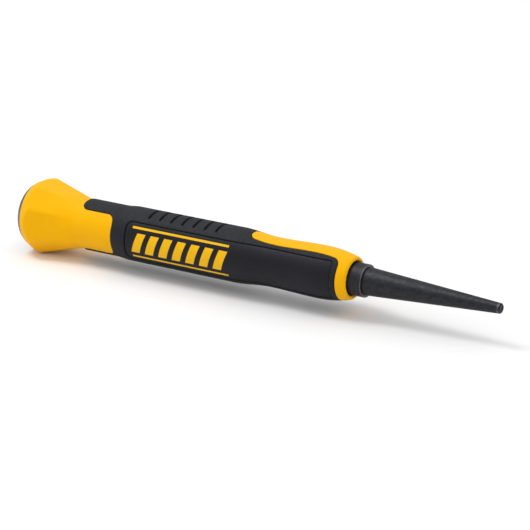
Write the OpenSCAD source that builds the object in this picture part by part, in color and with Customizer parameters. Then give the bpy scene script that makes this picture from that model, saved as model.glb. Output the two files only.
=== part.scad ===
// Nail setter: a steel bar in a two-material handle, a strike plate behind it and a punch bit in front.
// The origin is the middle of the strike face. +X runs along the tool to its tip, and +Z is up. Sizes are in mm.

/* [Strike plate] */
// Diameter of the strike face, before its edge is chamfered
plate_d = 20; // [19:0.1:20.4]
// Diameter of the plate where it meets the cap
plate_rim_d = 21.5; // [20.8:0.1:22]
// How far the plate stands out of the cap
plate_proud = 2; // [1.2:0.1:2.6]
// Chamfer round the strike face
plate_chamfer = 0.8; // [0.2:0.1:1]
// Diameter of the seat that holds the plate
seat_d = 17; // [14:0.1:17.8]
// Depth of the seat in the cap
seat_deep = 1.2; // [0.8:0.1:1.6]
// Diameter of the stub on the plate
stub_d = 5; // [3:0.1:6]
// Length of the stub
stub_l = 8; // [4:0.5:14]

/* [Strike cap] */
// Width of the flat ring round the plate
cap_land = 0.05; // [0.05:0.05:0.4]
// Length of the bevel behind the rim
bevel_l = 3.6; // [2.6:0.1:5]
// Diameter at the rim
rim_d = 24.9; // [23.5:0.1:30]
// Rounding of the rim
rim_round = 2.6; // [0.5:0.1:4]
// Length of the cone in front of the rim
cone_l = 15.6; // [12:0.1:22]
// Fillet where the cone meets the neck
cone_fillet = 3; // [1:0.5:5]
// Diameter of the bare neck
neck_d = 16.2; // [15:0.1:17]

/* [Grip sleeve] */
// Diameter of the core under the grip
core_d = 13.2; // [12.6:0.1:14]
// Distance from the cone to the rear tongues
tongue_gap = 1.05; // [0.6:0.05:2]
// Length of the rear tongues
tongue_l = 13.8; // [10:0.1:20]
// Width of the rear tongues
tongue_w = 9.9; // [7:0.1:11]
// How far the tongues stand above the neck
tongue_proud = 0.3; // [0.1:0.05:0.6]
// Corner radius at the end of a tongue
tongue_corner = 2.8; // [0.5:0.1:3.2]
// Corner radius at the front of a side window
window_corner = 2.8; // [0.5:0.1:4]
// Length of the step from the neck to the grip
step_l = 4.35; // [3:0.05:6]
// Diameter of the straight grip
grip_d = 17.6; // [17.2:0.1:20]
// Length of the straight grip
grip_l = 39.6; // [36:0.1:50]
// Length of the fall to the waist
fall_l = 13; // [10:0.1:18]
// Diameter at the waist
waist_d = 15.7; // [15:0.1:16.3]
// Length of the rise to the front swell
rise_l = 17; // [12:0.1:24]
// Diameter at the front swell
swell_d = 16.5; // [16:0.1:18]
// Length from the swell to the nose
front_l = 8.4; // [6:0.1:8.8]
// Radius of the curve that falls from the swell to the nose
brow_r = 41; // [38:0.5:60]

/* [Grip grooves] */
// Number of grooves above, and again below
groove_count = 7; // [3:1:8]
// Distance from the step to the first groove
groove_first = 8.3; // [2:0.1:9]
// Distance from groove to groove
groove_pitch = 4.2; // [3:0.1:4.5]
// Width of a groove
groove_w = 1; // [0.4:0.1:1.2]
// Depth of a groove
groove_deep = 0.7; // [0.4:0.05:1]
// Angle that a groove spans
groove_span = 54; // [20:1:70]

/* [Side panels] */
// Rubber left between the step and a panel
panel_rear_gap = 1.4; // [0.2:0.1:3]
// Rubber left between a panel and the nose
panel_front_gap = 1.9; // [1:0.1:4]
// Height of a panel on the straight grip
panel_h = 12.9; // [10:0.1:13.2]
// Slope of a panel's long edges, towards the axis
panel_slope = 9; // [0:1:30]
// Least rubber left between a panel and the pad
panel_strip = 0.5; // [0.3:0.05:0.8]
// Corner radius at a panel's rear end
panel_rear_corner = 2; // [0.5:0.1:4]
// Corner radius at a panel's front end
panel_front_corner = 1.2; // [0.5:0.1:4]
// How far a panel's face lies below the grip
panel_recess = 0.3; // [0.1:0.05:0.5]

/* [Nose] */
// Length of the nose in front of the grip
nose_l = 3.3; // [2.6:0.1:4]
// Rounding of the nose's front edge
nose_round = 1.4; // [0.8:0.1:1.5]
// Width of the pad that runs back on top
pad_w = 7.15; // [6:0.05:7.6]
// Length of the pad behind the nose
pad_l = 33; // [24:0.1:36]
// Width of the pad at its rear end
pad_end_w = 6.1; // [5.2:0.1:6.4]
// Length over which the pad widens
pad_taper_l = 11.6; // [6:0.1:18]
// Corner radius at the pad's rear end
pad_end_corner = 2.4; // [0.5:0.1:2.5]
// Corner radius where the pad meets the nose
pad_corner = 2.1; // [0.3:0.1:3]
// Gap round the collar at the mouth of the nose
mouth_gap = 0.25; // [0.1:0.05:0.7]
// Depth of that gap
mouth_deep = 2; // [1:0.1:3]

/* [Core bar] */
// Width of the bar across its flats
bar_af = 9; // [8.4:0.1:9.6]
// Diameter of the collar
collar_d = 10.3; // [10:0.1:10.8]
// Length of the collar outside the nose
collar_out = 4.3; // [2:0.1:6]
// Length of the collar inside the nose
collar_in = 12; // [9:0.1:20]
// Chamfer round the collar's front edge
collar_chamfer = 0.2; // [0.1:0.05:0.5]

/* [Punch bit] */
// Width of the shank across its flats
shank_af = 6.35; // [5:0.05:6.5]
// Length of the shank
shank_l = 22; // [14:0.5:30]
// Chamfer on the corners at the shank's end
shank_chamfer = 0.6; // [0.2:0.1:1]
// Clearance between a flat of the shank and its socket
shank_gap = 0.05; // [0.03:0.01:0.1]
// Depth of the socket behind the shank
socket_spare = 1; // [0.5:0.5:3]
// Diameter of the bit at its shoulder, before its edge is chamfered
shoulder_d = 8.8; // [8.4:0.1:9.5]
// Chamfer round the shoulder, next to the collar
shoulder_chamfer = 0.15; // [0.1:0.05:0.5]
// Length of the bit in front of the collar
bit_l = 45; // [30:0.1:60]
// Diameter of the tip
tip_d = 3.2; // [2.4:0.1:5]
// Chamfer round the tip
tip_chamfer = 0.3; // [0.1:0.05:0.35]
// Width of the flat ring round the hollow in the tip
tip_land = 0.2; // [0.1:0.05:0.4]
// Depth of the hollow in the tip
cup_deep = 0.3; // [0.1:0.05:0.4]

/* [Retaining ring] */
// Diameter of the ring's wire
wire_d = 0.8; // [0.6:0.05:0.9]
// Distance from the collar's front face to the ring
ring_setback = 6.5; // [4:0.1:8]
// Clearance round the wire
ring_gap = 0.04; // [0.03:0.01:0.06]
// Angle of the gap between the ring's ends
ring_opening = 40; // [20:1:90]

/* [Hidden] */
$fn = 120;

// Radii
plate_r = plate_d / 2;
plate_rim_r = plate_rim_d / 2;
seat_r = seat_d / 2;
cap_r = plate_rim_r + cap_land;
rim_r = rim_d / 2;
neck_r = neck_d / 2;
core_r = core_d / 2;
tongue_r = neck_r + tongue_proud;
grip_r = grip_d / 2;
waist_r = waist_d / 2;
swell_r = swell_d / 2;
collar_r = collar_d / 2;

// Places along the tool, from the strike face to the tip
cap_x = plate_proud;
seat_x = cap_x + seat_deep;
rim_x = cap_x + bevel_l;
neck_x = rim_x + cone_l;
tongue_x = neck_x + tongue_gap;
window_x = tongue_x + tongue_l;
step_x = window_x + step_l;
fall_x = step_x + grip_l;
waist_x = fall_x + fall_l;
swell_x = waist_x + rise_l;
sleeve_end_x = swell_x + front_l;
nose_x = sleeve_end_x + nose_l;
collar_x = nose_x + collar_out;
collar_rear_x = nose_x - collar_in;
tip_x = collar_x + bit_l;
ring_x = collar_x - ring_setback;
shank_x = collar_x - shank_l;
socket_x = shank_x - socket_spare;
panel_x = step_x + panel_rear_gap;
panel_end_x = sleeve_end_x - panel_front_gap;
pad_x = sleeve_end_x - pad_l;

// How far cuts and masks run past the solid that they shape
cut = 1;
reach = rim_d;

// Corner radius of a hexagon from its width across flats
function hex_r(af) = af / 2 / cos(30);

// Points on each curve of a turned outline
curve_steps = 10;

function unit(v) = v / norm(v);
function half_angle(a, p, b) = acos(unit(a - p) * unit(b - p)) / 2;

// Rounds the corner at p, between the lines from a and to b
function corner(a, p, b, r) =
  let (
    half = half_angle(a, p, b),
    centre = p + unit(unit(a - p) + unit(b - p)) * r / sin(half),
    first = p + unit(a - p) * r / tan(half) - centre,
    last = p + unit(b - p) * r / tan(half) - centre
  )
  [for (i = [0 : curve_steps]) centre + r * unit(first * (curve_steps - i) + last * i)];

// Arc from one angle to another, without its first point
function arc(centre, r, from, to) =
  [for (i = [1 : curve_steps])
    let (a = from + (to - from) * i / curve_steps)
    centre + r * [cos(a), sin(a)]];

// Runs from one radius to another, level at both ends, without its first point
function wave(x_from, r_from, x_to, r_to) =
  [for (i = [1 : curve_steps])
    let (t = i / curve_steps)
    [r_from + (r_to - r_from) * (1 - cos(180 * t)) / 2, x_from + (x_to - x_from) * t]];

// Turned outlines have the radius along X and the place along the tool along Y.
// Cap and neck, with a rounded rim and a fillet at the cone's foot
function cap_outline() =
  let (
    rear = [cap_r, cap_x],
    rim = [rim_r, rim_x],
    foot = [neck_r, neck_x],
    end = [neck_r, window_x]
  )
  concat([[0, cap_x], rear], corner(rear, rim, foot, rim_round), corner(rim, foot, end, cone_fillet), [end]);

// Body in front of the side windows, set in by drop: step, grip, waist, swell and rounded nose
function body_outline(drop = 0) =
  let (
    brow_centre = [swell_r - drop - brow_r, swell_x],
    nose_centre_x = nose_x - nose_round,
    nose_angle = asin((nose_centre_x - swell_x) / (brow_r - nose_round)),
    nose_centre = [brow_centre[0] + (brow_r - nose_round) * cos(nose_angle), nose_centre_x]
  )
  concat(
    [[tongue_r - drop, window_x]],
    wave(window_x, tongue_r - drop, step_x, grip_r - drop),
    [[grip_r - drop, fall_x]],
    wave(fall_x, grip_r - drop, waist_x, waist_r - drop),
    wave(waist_x, waist_r - drop, swell_x, swell_r - drop),
    arc(brow_centre, brow_r, 0, nose_angle),
    arc(nose_centre, nose_round, nose_angle, 90),
    [[0, nose_x]]
  );

// Turns a piece that is built along Z to lie along the tool
module along_tool() {
  rotate([0, 90, 0])
    children();
}

module turned(outline) {
  along_tool()
    rotate_extrude()
      polygon(outline);
}

module rod(r, x_from, x_to, sides = $fn) {
  along_tool()
    translate([0, 0, x_from])
      cylinder(r = r, h = x_to - x_from, $fn = sides);
}

// Fills the corner at the origin between two edges that run along +X and +Y, and laps over both
module corner_fill(r) {
  difference() {
    translate([-cut, -cut])
      square(r + cut);
    translate([r, r])
      circle(r);
  }
}

// Plan of the grip sleeve, from the ends of its tongues to the nose
module sleeve_plan() {
  half = tongue_w / 2;
  translate([window_x, -reach])
    square([sleeve_end_x - window_x, 2 * reach]);
  translate([tongue_x + tongue_corner, -half])
    square([tongue_l - tongue_corner + cut, tongue_w]);
  translate([tongue_x, tongue_corner - half])
    square([2 * tongue_corner, tongue_w - 2 * tongue_corner]);
  for (side = [0, 1])
    mirror([0, side]) {
      translate([tongue_x + tongue_corner, half - tongue_corner])
        circle(tongue_corner);
      translate([window_x, half])
        mirror([1, 0])
          corner_fill(window_corner);
    }
}

// Plan of the pad that runs back from the nose, with a rounded end and sides that widen
module pad_plan() {
  half = pad_w / 2;
  end_corner = [pad_x, pad_end_w / 2];
  shoulder = [pad_x + pad_taper_l, half];
  for (side = [0, 1])
    mirror([0, side]) {
      polygon(concat(
        [[pad_x, -cut]],
        corner([pad_x, 0], end_corner, shoulder, pad_end_corner),
        [shoulder, [sleeve_end_x + cut, half], [sleeve_end_x + cut, -cut]]
      ));
      translate([sleeve_end_x, half])
        mirror([1, 0])
          corner_fill(pad_corner);
    }
}

// Space round the core that the grip sleeve and its panels fill
module sleeve_space() {
  difference() {
    translate([0, 0, -reach])
      linear_extrude(2 * reach)
        sleeve_plan();
    rod(core_r, tongue_x - cut, sleeve_end_x + cut);
    linear_extrude(reach)
      pad_plan();
  }
}

// Everything below the upper edge of the panel on the +Y side, with that edge's rounded ends
module panel_edge_space() {
  edge_z = panel_h / 2;
  edge_y = sqrt(pow(grip_r, 2) - pow(edge_z, 2));
  translate([0, edge_y, edge_z])
    rotate([90 + panel_slope, 0, 0])
      translate([0, 0, -reach])
        linear_extrude(2 * reach)
          difference() {
            translate([panel_x, -2 * reach])
              square([panel_end_x - panel_x, 2 * reach]);
            translate([panel_x, 0])
              rotate(-90)
                corner_fill(panel_rear_corner);
            translate([panel_end_x, 0])
              rotate(180)
                corner_fill(panel_front_corner);
          }
}

// Space of the panel on the +Y side, clear of the pad
module panel_space() {
  intersection() {
    panel_edge_space();
    mirror([0, 0, 1])
      panel_edge_space();
    translate([panel_x - cut, pad_w / 2 + panel_strip, -reach])
      cube([panel_end_x - panel_x + 2 * cut, reach, 2 * reach]);
  }
}

// One row of grip grooves on top, each an arc with a round bottom
module groove_row() {
  bottom_r = grip_r - groove_deep + groove_w / 2;
  for (n = [0 : groove_count - 1])
    along_tool()
      translate([0, 0, step_x + groove_first + n * groove_pitch])
        rotate([0, 0, 180 - groove_span / 2])
          rotate_extrude(angle = groove_span) {
            translate([bottom_r, 0])
              circle(groove_w / 2);
            translate([bottom_r, -groove_w / 2])
              square([groove_deep + cut, groove_w]);
          }
}

// Steel disc that takes the blow, with a stub that is pressed into the bar
module strike_plate() {
  color("gray") {
    turned([[0, 0], [plate_r - plate_chamfer, 0], [plate_r, plate_chamfer], [plate_rim_r, cap_x],
      [seat_r, cap_x], [seat_r, seat_x], [0, seat_x]]);
    rod(stub_d / 2, cap_x, seat_x + stub_l);
  }
}

// Steel bar from the plate to the collar, six-sided so that it can't turn in the handle
module core_bar() {
  color("dimgray")
    difference() {
      union() {
        rod(hex_r(bar_af), seat_x, collar_rear_x, 6);
        turned([[0, collar_rear_x], [collar_r, collar_rear_x], [collar_r, collar_x - collar_chamfer],
          [collar_r - collar_chamfer, collar_x], [0, collar_x]]);
      }
      rod(stub_d / 2, seat_x - cut, seat_x + stub_l);
      rod(hex_r(shank_af + 2 * shank_gap), socket_x, collar_x + cut, 6);
      rod(hex_r(shank_af) + wire_d + 2 * ring_gap, ring_x - wire_d / 2 - ring_gap, ring_x + wire_d / 2 + ring_gap);
    }
}

// Hard moulding round the bar: strike cap, neck, core, nose and the pad on top
module handle_core() {
  color("gold")
    difference() {
      turned(concat(cap_outline(), body_outline()));
      sleeve_space();
      rod(seat_r, cap_x - cut, seat_x);
      rod(hex_r(bar_af), seat_x - cut, collar_rear_x, 6);
      rod(collar_r, collar_rear_x, nose_x + cut);
      rod(collar_r + mouth_gap, nose_x - mouth_deep, nose_x + cut);
    }
}

// Soft moulding over the core, with tongues, grooves above and below, and openings for the panels
module grip_sleeve() {
  color("#2b2c2f")
    difference() {
      intersection() {
        turned(concat([[0, neck_x], [tongue_r, neck_x]], body_outline()));
        sleeve_space();
      }
      panel_space();
      mirror([0, 1, 0])
        panel_space();
      groove_row();
      mirror([0, 0, 1])
        groove_row();
    }
}

// Hard inlay on the +Y side, seated on the core
module side_panel() {
  color("#36373b")
    difference() {
      intersection() {
        turned(concat([[0, window_x]], body_outline(panel_recess)));
        panel_space();
      }
      rod(core_r, panel_x - cut, panel_end_x + cut);
    }
}

module left_panel() {
  side_panel();
}

module right_panel() {
  mirror([0, 1, 0])
    side_panel();
}

// Six-sided shank, and a tapered punch with a hollow in its tip
module punch_bit() {
  tip_r = tip_d / 2;
  shoulder_r = shoulder_d / 2;
  cup_mouth_r = tip_r - tip_chamfer - tip_land;
  cup_r = (pow(cup_mouth_r, 2) + pow(cup_deep, 2)) / (2 * cup_deep);
  shank_r = hex_r(shank_af);
  color("#4a4b4f") {
    intersection() {
      rod(shank_r, shank_x, collar_x, 6);
      turned([[0, shank_x], [shank_r - shank_chamfer, shank_x], [shank_r + cut, shank_x + shank_chamfer + cut],
        [shank_r + cut, collar_x], [0, collar_x]]);
    }
    difference() {
      turned([[0, collar_x], [shoulder_r - shoulder_chamfer, collar_x], [shoulder_r, collar_x + shoulder_chamfer],
        [tip_r, tip_x - tip_chamfer], [tip_r - tip_chamfer, tip_x], [0, tip_x]]);
      translate([tip_x - cup_deep + cup_r, 0, 0])
        sphere(cup_r);
    }
  }
}

// Split spring ring in the socket's groove, which grips the corners of the shank
module retaining_ring() {
  color("silver")
    along_tool()
      translate([0, 0, ring_x])
        rotate([0, 0, ring_opening / 2])
          rotate_extrude(angle = 360 - ring_opening)
            translate([hex_r(shank_af) + ring_gap + wire_d / 2, 0])
              circle(wire_d / 2);
}

strike_plate();
core_bar();
handle_core();
grip_sleeve();
left_panel();
right_panel();
punch_bit();
retaining_ring();
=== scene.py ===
"""Nail setter: moulded handle, rubber grip, steel and print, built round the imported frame."""
import math

import bmesh
import bpy
import numpy as np
from bpy.props import FloatProperty, FloatVectorProperty, IntProperty, PointerProperty
from bpy.types import Operator, Panel, PropertyGroup
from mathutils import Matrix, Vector
from mathutils.geometry import delaunay_2d_cdt


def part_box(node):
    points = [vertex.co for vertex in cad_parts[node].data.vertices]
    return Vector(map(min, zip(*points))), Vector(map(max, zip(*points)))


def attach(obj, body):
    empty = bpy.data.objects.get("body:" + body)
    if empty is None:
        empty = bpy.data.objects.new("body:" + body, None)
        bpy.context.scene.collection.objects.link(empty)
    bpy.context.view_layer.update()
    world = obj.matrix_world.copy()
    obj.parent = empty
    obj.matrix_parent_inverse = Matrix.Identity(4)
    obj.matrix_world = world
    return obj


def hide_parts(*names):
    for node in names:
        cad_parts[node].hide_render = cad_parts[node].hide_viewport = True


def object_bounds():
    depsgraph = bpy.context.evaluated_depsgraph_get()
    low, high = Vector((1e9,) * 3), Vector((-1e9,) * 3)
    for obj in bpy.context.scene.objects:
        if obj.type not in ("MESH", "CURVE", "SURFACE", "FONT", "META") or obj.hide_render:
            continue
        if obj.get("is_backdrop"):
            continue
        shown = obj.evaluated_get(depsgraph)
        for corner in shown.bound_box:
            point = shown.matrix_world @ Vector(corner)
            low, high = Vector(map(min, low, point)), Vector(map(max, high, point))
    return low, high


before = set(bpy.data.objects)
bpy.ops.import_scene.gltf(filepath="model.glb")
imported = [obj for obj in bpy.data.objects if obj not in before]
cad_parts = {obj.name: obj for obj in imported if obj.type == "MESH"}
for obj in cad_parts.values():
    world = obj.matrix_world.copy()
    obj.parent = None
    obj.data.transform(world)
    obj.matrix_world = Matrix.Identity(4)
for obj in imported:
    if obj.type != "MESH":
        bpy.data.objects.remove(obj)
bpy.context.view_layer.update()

bl_info = {
    "name": "Nail Setter",
    "version": (1, 0, 0),
    "blender": (4, 5, 0),
    "location": "3D View > Sidebar > Nail Setter",
    "description": "Builds a nail setter with a soft grip and a pull-out bit round its packed frame",
    "category": "Object",
}

MM = 0.001

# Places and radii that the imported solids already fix
PLATE_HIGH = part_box("strike_plate")[1]
CORE_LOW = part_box("handle_core")[0]
SLEEVE_LOW, SLEEVE_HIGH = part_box("grip_sleeve")
PANEL_LOW, PANEL_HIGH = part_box("left_panel")
BAR_LOW, BAR_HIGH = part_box("core_bar")
BIT_LOW, BIT_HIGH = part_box("punch_bit")
RING_LOW, RING_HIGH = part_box("retaining_ring")

# Points round a turned ring: a multiple of 12, so that the corners of a hexagon fall on points
SIDES = 144
ANGLES = np.linspace(0, 2 * math.pi, SIDES, endpoint=False)

# The skin of the handle is drawn unrolled at this radius, from the top line to the bottom line
SKIN_R = 8.5 * MM
HALF = math.pi * SKIN_R

# Spacing of points along drawn edges, and between them
EDGE_STEP = 0.4 * MM
FILL_STEP = 0.8 * MM
FILL_CLEAR = 0.5 * FILL_STEP

# A step longer than the tool, which leaves straight runs undivided
UNDIVIDED = 1.0

# Largest turn from point to point of a rounded corner, and the half angle past which a corner is straight
CORNER_TURN = math.radians(12)
STRAIGHT = 1.57

# Turns of a rounded edge, from its wall to its face
LIP_TURNS = np.radians([0, 25, 50, 72, 90])

# Distances under which two points are one, a point lies on a line, and the points of a mesh are merged
SAME_POINT = 1e-8
ON_LINE = 1e-7
MERGED = 1e-6

# Part of a step that a run may be too long by before it gets one more point
ROUND_OFF = 1e-6

# The drawn skin of the handle core starts so far in front of the cone and ends so far in front of the rubber
CONE_JOIN = 0.5 * MM
NOSE_JOIN = 0.6 * MM

# Wall of a groove, from its floor to the skin, and the lines drawn beside its middle, in groove widths,
# with the spacing of points along those lines
GROOVE_WALL = (0.3, 0.54)
GROOVE_LINES = (0.15, 0.3, 0.38, 0.46, 0.54, 0.62, 0.9)
GROOVE_STEP = 0.5 * EDGE_STEP

# Room round the spring ring in its groove, and the flare at the mouth of the socket
RING_ROOM = 0.04 * MM
MOUTH_FLARE = 1.05
MOUTH_LENGTH = 0.3 * MM

# Share of bare steel, from none to bare steel: worn edge and painted highlight at the side of the collar and
# at the tip; painted light over the shade at the collar's front edge and face
SIDE_WEAR_AND_HIGHLIGHT = 0.26
FRONT_PAINTED_LIGHT = 0.4
TIP_WEAR_AND_HIGHLIGHT = 0.3

# Edges between faces that meet at more than this angle are sharp
SHARP_ANGLE = math.radians(38)

# Most values of a noise lie in this range
NOISE_RANGE = (0.3, 0.7)


# Sizes and colours

def length(name, description, metres):
    """A size in metres."""
    return FloatProperty(name=name, description=description, default=metres, unit="LENGTH", precision=5)


def angle(name, description, degrees):
    """An angle, given in degrees."""
    return FloatProperty(name=name, description=description, default=math.radians(degrees), unit="ROTATION")


def number(name, description, value):
    """A plain number."""
    return FloatProperty(name=name, description=description, default=value, precision=4)


def colour(name, description, value):
    """A linear colour."""
    return FloatVectorProperty(name=name, description=description, default=value,
                               subtype="COLOR", min=0, max=1)


def distances(name, description, metres):
    """Distances along X, Y and Z, in metres."""
    return FloatVectorProperty(name=name, description=description, default=metres,
                               subtype="TRANSLATION", unit="LENGTH")


class CapShape(PropertyGroup):
    """Sizes of the strike cap and of the plate in it"""
    land: length("Land", "Width of the flat ring round the strike plate", 0.05 * MM)
    bevel: length("Bevel", "Length of the slope from the plate to the rim", 3.6 * MM)
    rim_round: length("Rim rounding", "Rounding of the rim", 2 * MM)
    rim_r: length("Rim radius", "Radius of the rim before it is rounded", 12.5 * MM)
    cone: length("Cone", "Length of the cone from the rim to the neck", 15.6 * MM)
    cone_fillet: length("Cone fillet", "Hollow where the cone meets the neck", 10 * MM)
    flat_span: angle("Flat span", "Angle that each of the four wide flats takes up round the cap", 46)
    flat_edge: angle("Flat edge", "Angle that the round edge between two flats takes up", 4)
    flat_even: length("Flat length", "Length of the cone over which the flats keep their depth", 6 * MM)
    flat_end: length("Flat end", "Length of the cone at which the flats have run out", 14.5 * MM)
    face_r: length("Face radius", "Radius of the strike face before its edge is chamfered", 10 * MM)
    face_edge: length("Face edge", "Chamfer round the strike face", 0.8 * MM)
    seat_r: length("Seat radius", "Radius of the seat that holds the plate", 8.5 * MM)
    stub_r: length("Stub radius", "Radius of the stub behind the plate", 2.5 * MM)


class GripShape(PropertyGroup):
    """Sizes of the handle from its neck to its nose"""
    core_r: length("Core radius", "Radius of the hard core under the grip", 6.6 * MM)
    neck_r: length("Neck radius", "Radius of the yellow neck", 8.1 * MM)
    tongue_proud: length("Tongue height", "How far the tongues stand above the neck", 0.3 * MM)
    tongue_w: length("Tongue width", "Width of the tongues on the neck", 9.9 * MM)
    tongue_corner: length("Tongue corner", "Corner radius of the tongues", 2.8 * MM)
    window_x: length("Window", "Front end of the yellow windows in the neck", 36.05 * MM)
    window_corner: length("Window corner", "Corner radius of the yellow windows", 2.8 * MM)
    step: length("Step", "Length of the rise from the tongues to the grip", 4.35 * MM)
    grip_r: length("Grip radius", "Radius of the grip", SLEEVE_HIGH.z)
    fall_x: length("Fall", "Where the grip starts to fall to the waist", 80 * MM)
    waist_x: length("Waist", "Where the grip is thinnest", 93 * MM)
    waist_r: length("Waist radius", "Radius of the waist", 7.85 * MM)
    swell_x: length("Swell", "Where the front of the grip is thickest", 110 * MM)
    swell_r: length("Swell radius", "Radius of the front of the grip", 8.25 * MM)
    brow_r: length("Brow radius", "Bow of the skin from the swell to the nose", 41 * MM)
    edge: length("Rubber edge", "Rounding of the rubber's edges", 0.22 * MM)
    seam: length("Seam", "Gap between the rubber and the yellow plastic beside it", 0.12 * MM)


class PadShape(PropertyGroup):
    """Sizes of the yellow pad on top and of the nose ring"""
    pad_x: length("Pad", "Rear end of the pad", 85.4 * MM)
    width: length("Width", "Width of the pad", 7.15 * MM)
    end_w: length("End width", "Width of the pad at its rear end", 6.1 * MM)
    taper: length("Taper", "Length over which the pad widens", 11.6 * MM)
    end_corner: length("End corner", "Corner radius at the pad's rear end", 2.4 * MM)
    corner: length("Corner", "Corner radius where the pad meets the nose", 2.1 * MM)
    nose: length("Nose", "Length of the nose ring in front of the rubber", 3.3 * MM)
    nose_round: length("Nose rounding", "Rounding of the front of the nose", 1.4 * MM)
    mouth_gap: length("Mouth gap", "Gap round the collar in the nose", 0.25 * MM)
    mouth_deep: length("Mouth depth", "Depth of the gap round the collar", 2 * MM)
    lip: length("Lip", "Rounding of the mouth's edge", 0.7 * MM)
    edge: length("Edge", "Rounding of the pad's edges", 0.14 * MM)


class GrooveRow(PropertyGroup):
    """Row of grip grooves, above and below"""
    count: IntProperty(name="Count", description="Grooves in each row", default=7, min=1)
    first_x: length("First", "Place of the first groove", 48.7 * MM)
    pitch: length("Pitch", "Distance from groove to groove", 4.2 * MM)
    width: length("Width", "Width of a groove", 1.0 * MM)
    depth: length("Depth", "Depth of a groove", 0.7 * MM)
    span: angle("Span", "How far a groove runs round the grip", 54)


class PanelShape(PropertyGroup):
    """Sizes of the side panels"""
    height: length("Height", "Height of a panel", 12.9 * MM)
    slope: angle("Slope", "Slope of the panel's long edges into the grip", 9)
    rear_corner: length("Rear corner", "Corner radius at the rear", 2 * MM)
    front_corner: length("Front corner", "Corner radius at the front", 1.2 * MM)
    recess: length("Recess", "How far a panel lies below the rubber", 0.3 * MM)
    gap: length("Gap", "Gap between a panel and the rubber round it", 0.1 * MM)
    edge: length("Edge", "Rounding of a panel's edges", 0.25 * MM)


class PrintShape(PropertyGroup):
    """Sizes of the plain print on the side panels"""
    start_x: length("Start", "Rear end of the print", 44.3 * MM)
    run: length("Length", "Length of the print", 36.1 * MM)
    stripe: length("Stripe", "Height of the two stripes", 0.62 * MM)
    upper: length("Upper stripe", "Middle of the upper stripe above the tool's axis", 4.85 * MM)
    lower: length("Lower stripe", "Middle of the lower stripe below the tool's axis", 4.62 * MM)
    bars: IntProperty(name="Bars", description="Slanted bars between the stripes", default=7, min=1)
    bar_w: length("Bar width", "Width of a bar", 3.1 * MM)
    bar_h: length("Bar height", "Height of a bar", 6.4 * MM)
    slant: angle("Slant", "Lean of the bars", 20)
    ink: length("Ink", "How far the print stands above the panel", 0.03 * MM)


class SteelShape(PropertyGroup):
    """Sizes of the bar, the bit and the retaining ring"""
    bar_flats: length("Bar flats", "Width of the bar across its flats", 9 * MM)
    collar_x: length("Collar", "Where the collar starts inside the nose", 109.7 * MM)
    collar_r: length("Collar radius", "Radius of the collar", 5.15 * MM)
    collar_edge: length("Collar edge", "Chamfer round the front of the collar", 0.2 * MM)
    socket_x: length("Socket", "Bottom of the socket", 103 * MM)
    socket_flats: length("Socket flats", "Width of the socket across its flats", 6.45 * MM)
    shank_flats: length("Shank flats", "Width of the shank across its flats", 6.35 * MM)
    shank_edge: length("Shank edge", "Chamfer at the end of the shank", 0.6 * MM)
    shoulder_r: length("Shoulder radius", "Radius of the bit's shoulder", 4.4 * MM)
    shoulder_edge: length("Shoulder edge", "Chamfer round the shoulder, next to the collar", 0.15 * MM)
    tip_r: length("Tip radius", "Radius of the tip", 1.6 * MM)
    tip_edge: length("Tip edge", "Chamfer round the tip", 0.3 * MM)
    tip_land: length("Tip land", "Flat ring between the chamfer and the cup", 0.2 * MM)
    cup: length("Cup", "Depth of the hollow in the tip", 0.3 * MM)
    wire: length("Wire", "Thickness of the ring's wire", 0.8 * MM)
    opening: angle("Opening", "Gap in the retaining ring", 40)


class Finishes(PropertyGroup):
    """Colours of the finishes"""
    yellow: colour("Yellow", "Moulded plastic of the cap, neck, pad and nose", (0.93, 0.468, 0.003))
    yellow_shade: colour("Yellow shade", "Deeper tone in the yellow plastic", (0.89, 0.443, 0.003))
    rubber: colour("Rubber", "Soft grip", (0.0104, 0.0114, 0.0150))
    panel: colour("Panel", "Hard side panels", (0.0090, 0.0088, 0.0130))
    oxide: colour("Black oxide", "Finish of the bar and the bit", (0.0375, 0.0381, 0.0423))
    # Bare steel, mixed in at worn edges that also stand for painted highlights, and as painted light on the
    # collar's shaded front face
    bare_steel_and_light: colour("Bare steel", "Worn edges of the steel", (0.42, 0.42, 0.43))
    plate: colour("Ground steel", "Strike plate", (0.14, 0.14, 0.142))
    wire: colour("Spring wire", "Retaining ring", (0.52, 0.52, 0.53))
    ink: colour("Ink", "Print on the side panels", (0.94, 0.52, 0.012))
    floor: colour("Floor", "Floor of the studio", (0.9, 0.9, 0.9))


class StageSetup(PropertyGroup):
    """Camera and light"""
    azimuth: angle("Azimuth", "Turn of the camera from the tool's side towards its tip", 32.047)
    elevation: angle("Elevation", "Height angle of the camera", 19.193)
    aim: length("Aim", "Place on the tool's axis that the camera looks at", 85 * MM)
    distance: length("Distance", "Distance from the camera to that place", 0.75)
    lens: number("Lens", "Focal length on a 36 mm frame, in millimetres", 163.58)
    shift_x: number("Shift X", "Sideways shift of the lens", 0.0218)
    shift_y: number("Shift Y", "Upward shift of the lens", -0.0140)
    horizon: number("Horizon", "Strength of the sky's light at the horizon and below", 0.42)
    zenith: number("Zenith", "Strength of the sky's light overhead", 1.2)
    key: number("Key", "Power of the light above and behind the cap, in watts", 2.5)
    key_size: length("Key size", "Diameter of that light", 0.35)
    key_place: distances("Key place", "Place of that light, from the camera's aim", (-0.4, -0.12, 0.78))
    floor_reach: length("Floor reach", "How far the floor runs to each side", 1.5)


class NailSetter(PropertyGroup):
    """All sizes and colours of the nail setter"""
    cap: PointerProperty(type=CapShape)
    grip: PointerProperty(type=GripShape)
    pad: PointerProperty(type=PadShape)
    grooves: PointerProperty(type=GrooveRow)
    panel: PointerProperty(type=PanelShape)
    print: PointerProperty(type=PrintShape)
    steel: PointerProperty(type=SteelShape)
    finish: PointerProperty(type=Finishes)
    stage: PointerProperty(type=StageSetup)


def sizes():
    """The sizes and colours in use."""
    return bpy.context.scene.nail_setter


# Lines and outlines

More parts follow.
